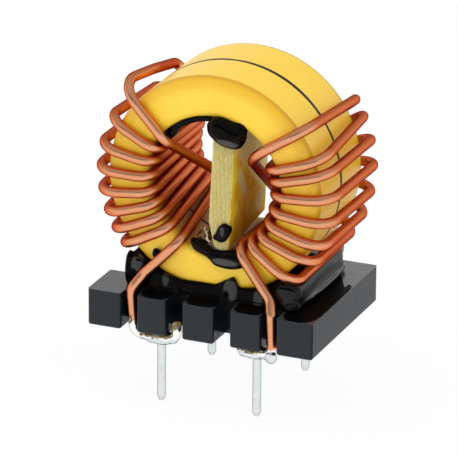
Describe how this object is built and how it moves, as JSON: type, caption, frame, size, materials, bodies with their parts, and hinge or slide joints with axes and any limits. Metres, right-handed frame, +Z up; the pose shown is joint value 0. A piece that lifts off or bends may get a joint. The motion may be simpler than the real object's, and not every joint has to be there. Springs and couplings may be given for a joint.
{
  "type": "common mode filter",
  "caption": "Toroidal common mode filter: coated ring core on edge with two wire windings and an insulating plate, on a notched header with solder pins.",
  "frame": {"origin": "centre of the four solder pins, on the top face of the circuit board", "axes": "+X along the header's long side, +Y from the front of the hole to the rear, +Z up from the circuit board"},
  "size_m": [0.0256, 0.0173, 0.0341],
  "materials": {
    "header": "moulded, slight sheen",
    "pins": "tinned",
    "ferrite": "sintered",
    "coating": "satin epoxy coat",
    "adhesive": "thin film",
    "enamelled_wire": "enamelled copper, tinned at the ends",
    "laminate": "glass fibre laminate",
    "epoxy": "glossy cast epoxy",
    "solder": "bright solder"
  },
  "bodies": {
    "root": {"base": "header", "pin_front_left": "pins", "pin_front_right": "pins", "pin_rear_left": "pins", "pin_rear_right": "pins", "ring_front": "ferrite", "ring_rear": "ferrite", "coating_front": "coating", "coating_rear": "coating", "bond_line": "adhesive", "winding_left": "enamelled_wire", "winding_right": "enamelled_wire", "divider_plate": "laminate", "epoxy_bed": "epoxy", "solder_front_left": "solder", "solder_front_right": "solder", "solder_rear_left": "solder", "solder_rear_right": "solder", "epoxy_top": "epoxy", "epoxy_foot": "epoxy", "epoxy_dab": "epoxy", "epoxy_rim": "epoxy"}
  },
  "joints": []
}
